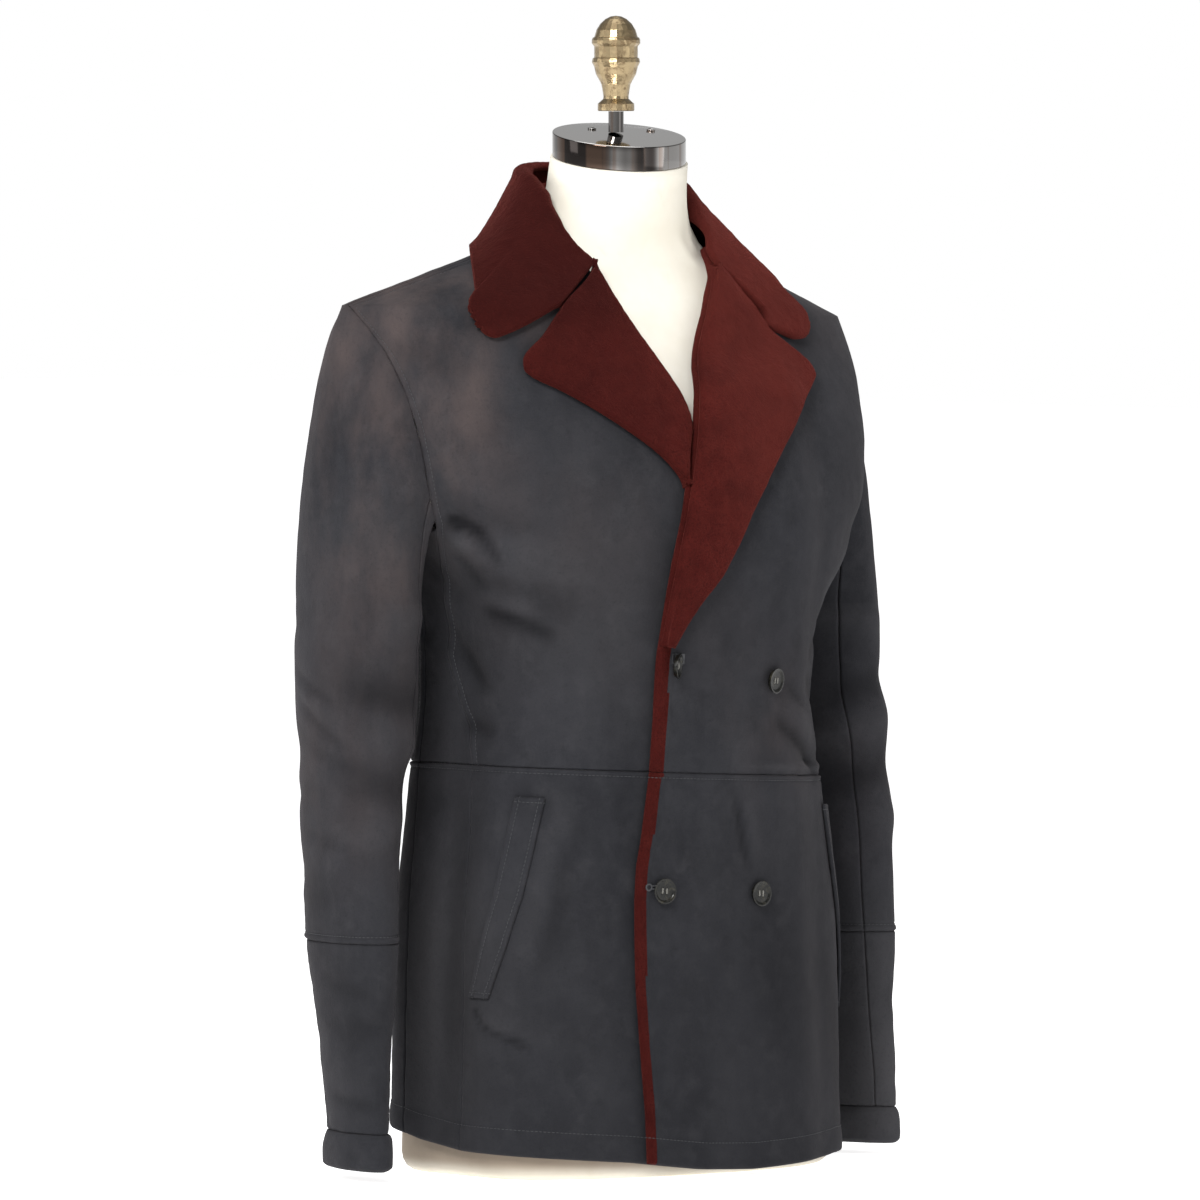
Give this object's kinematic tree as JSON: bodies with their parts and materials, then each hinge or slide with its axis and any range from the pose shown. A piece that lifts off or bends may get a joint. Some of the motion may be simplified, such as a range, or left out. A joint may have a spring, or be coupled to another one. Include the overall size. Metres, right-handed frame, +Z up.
{
  "type": "leather coat on dress form",
  "caption": "Hip-length double-breasted sheepskin coat with notched fur-side collar and lapels, worn on a limbless dress form with capped neck and finial.",
  "frame": {"origin": "centre of the form's flat base, on the floor", "axes": "+Z up through the form's neck; -Y is the way the form faces; +X is to the wearer's left"},
  "size_m": [0.5394, 0.2697, 0.8982],
  "materials": {
    "suede": "matt suede, charcoal, slate and brown in places",
    "fur": "shorn fur of the sheepskin's inside, burgundy",
    "horn": "polished dark horn",
    "form_cloth": "cream cloth stretched over a stiff shell",
    "chromed_cap": "polished chrome",
    "chromed_rod": "galvanised steel",
    "brass_finial": "aged brass, satin"
  },
  "bodies": {
    "root": {"front_upper_right": "suede", "front_upper_left": "suede", "side_upper_right": "suede", "side_upper_left": "suede", "back_upper": "suede", "front_lower_right": "suede", "front_lower_left": "suede", "side_lower_right": "suede", "side_lower_left": "suede", "back_lower": "suede", "collar_stand": "suede", "collar": "fur", "lapel_right": "fur", "lapel_left": "fur", "pocket_welt_right": "suede", "pocket_welt_left": "suede", "sleeve_top_right": "suede", "sleeve_under_right": "suede", "forearm_top_right": "suede", "forearm_under_right": "suede", "cuff_right": "suede", "sleeve_top_left": "suede", "sleeve_under_left": "suede", "forearm_top_left": "suede", "forearm_under_left": "suede", "cuff_left": "suede", "button_upper_edge": "horn", "button_upper_outer": "horn", "button_lower_edge": "horn", "button_lower_outer": "horn", "form_torso": "form_cloth", "neck_cap": "chromed_cap", "rod": "chromed_rod", "finial": "brass_finial"}
  },
  "joints": []
}
